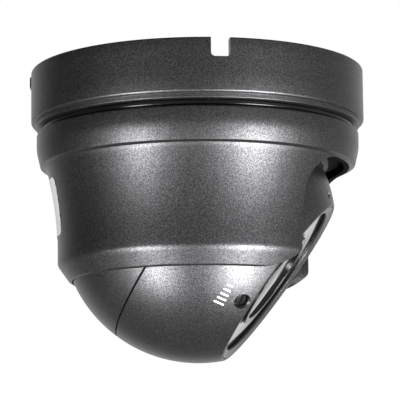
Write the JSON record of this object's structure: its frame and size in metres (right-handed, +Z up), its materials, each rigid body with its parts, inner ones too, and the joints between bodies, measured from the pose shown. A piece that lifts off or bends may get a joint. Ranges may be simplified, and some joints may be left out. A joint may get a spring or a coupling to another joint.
{
  "type": "dome cctv camera",
  "caption": "Round ceiling camera: a fixed base, a panning shroud with a front window, and a tilting ball whose lamp-and-lens front half also turns on its axis.",
  "frame": {"origin": "centre of the ceiling face, in the plane of the base's top rim", "axes": "+Z up, out of the ceiling face and along the pan axis; +X the way the shroud's window faces at rest; the tilt axis is parallel to Y"},
  "size_m": [0.1406, 0.14, 0.1224],
  "materials": {
    "graphite_paint": "dark graphite grey metallic paint with a fine sparkle grain, satin",
    "black_paint": "satin black paint",
    "black_rubber": "smooth black rubber",
    "black_plastic": "fine moulded grain",
    "white_plastic": "natural acetal",
    "dark_glass": "polished, dark tint",
    "lens_glass": "polished and coated",
    "clear_resin": "clear moulded resin",
    "steel": "zinc plated",
    "brass": "turned",
    "circuit_board": "green solder mask",
    "silver_label": "blank silver sticker, satin",
    "silicon": "glass-covered chip"
  },
  "bodies": {
    "base": {"base_housing": "graphite_paint", "notch_plug": "black_rubber", "cable_grommet": "black_rubber", "seal_ring": "black_rubber", "pan_glide_ring": "white_plastic", "pan_retainer": "steel", "retainer_screw_1": "steel", "retainer_screw_2": "steel", "retainer_screw_3": "steel"},
    "head": {"shroud_shell": "graphite_paint", "lip_seal": "black_rubber", "pan_ring": "steel", "ball_clamp_ring": "black_paint", "friction_ring": "black_rubber", "clamp_screw_1": "steel", "clamp_screw_2": "steel", "clamp_screw_3": "steel", "rear_label": "silver_label"},
    "ball_rear": {"ball_rear_shell": "graphite_paint", "seam_oring": "black_rubber", "roll_ring": "steel", "roll_clamp_ring": "steel", "cable_gland": "black_plastic", "gland_locknut": "black_plastic", "main_board": "circuit_board", "power_connector": "white_plastic", "main_board_screw_1": "steel", "main_board_screw_2": "steel", "main_board_screw_3": "steel"},
    "ball_front": {"ball_front_shell": "graphite_paint", "bezel_grub_screw_1": "steel", "bezel_grub_screw_2": "steel", "bezel_ring": "black_paint", "led_window": "dark_glass", "lens_window": "dark_glass", "window_gasket": "black_rubber", "ir_baffle": "black_rubber", "led_board": "circuit_board", "led_array": "clear_resin", "light_sensor": "clear_resin", "chassis_plate": "steel", "chassis_screw_1": "steel", "chassis_screw_2": "steel", "chassis_screw_3": "steel", "led_standoff_1": "brass", "led_standoff_2": "brass", "led_standoff_3": "brass", "sensor_board": "circuit_board", "image_sensor": "silicon", "lens_mount": "black_plastic", "lens_barrel": "black_plastic", "ring_clip": "steel"},
    "zoom_dial": {"zoom_spindle": "steel"},
    "zoom_gear": {"zoom_ring": "black_plastic"},
    "zoom_group": {"zoom_lens_cell": "black_plastic", "zoom_lens": "lens_glass"},
    "focus_dial": {"focus_spindle": "steel"},
    "focus_gear": {"focus_ring": "black_plastic"},
    "focus_group": {"focus_lens_cell": "black_plastic", "focus_lens": "lens_glass"}
  },
  "joints": [
    {"name": "pan", "type": "hinge", "parent": "base", "child": "head", "pos_m": [0, 0, -0.0649], "axis": [0, 0, 1], "range_deg": [-175, 175]},
    {"name": "tilt", "type": "hinge", "parent": "head", "child": "ball_rear", "pos_m": [0, 0, -0.0649], "axis": [0, 1, 0], "range_deg": [-14, 53.2]},
    {"name": "roll", "type": "hinge", "parent": "ball_rear", "child": "ball_front", "pos_m": [0, 0, -0.0649], "axis": [0.8007, 0, -0.599], "range_deg": [-90, 90]},
    {"name": "zoom_turn", "type": "hinge", "parent": "ball_front", "child": "zoom_dial", "pos_m": [0.02022, -0.0394, -0.10164], "axis": [0.4463, -0.6008, -0.6633], "range_deg": [-90, 90]},
    {"name": "zoom_gear_turn", "type": "hinge", "parent": "ball_front", "child": "zoom_gear", "pos_m": [0, 0, -0.0649], "axis": [0.8007, 0, -0.599], "range_deg": [-30, 30]},
    {"name": "zoom_slide", "type": "slide", "parent": "ball_front", "child": "zoom_group", "axis": [0.8007, 0, -0.599], "range_m": [-0.002, 0.002]},
    {"name": "focus_turn", "type": "hinge", "parent": "ball_front", "child": "focus_dial", "pos_m": [0.02022, 0.0394, -0.10164], "axis": [0.3854, 0.6566, -0.6483], "range_deg": [-90, 90]},
    {"name": "focus_gear_turn", "type": "hinge", "parent": "ball_front", "child": "focus_gear", "pos_m": [0, 0, -0.0649], "axis": [0.8007, 0, -0.599], "range_deg": [-30, 30]},
    {"name": "focus_slide", "type": "slide", "parent": "ball_front", "child": "focus_group", "axis": [0.8007, 0, -0.599], "range_m": [-0.0012, 0.0012]}
  ],
  "couplings": [
    {"joint": "zoom_turn", "follows": "zoom_slide", "rad_per_m": 785},
    {"joint": "zoom_gear_turn", "follows": "zoom_slide", "rad_per_m": -261.67},
    {"joint": "focus_turn", "follows": "focus_slide", "rad_per_m": 1308},
    {"joint": "focus_gear_turn", "follows": "focus_slide", "rad_per_m": -436}
  ]
}
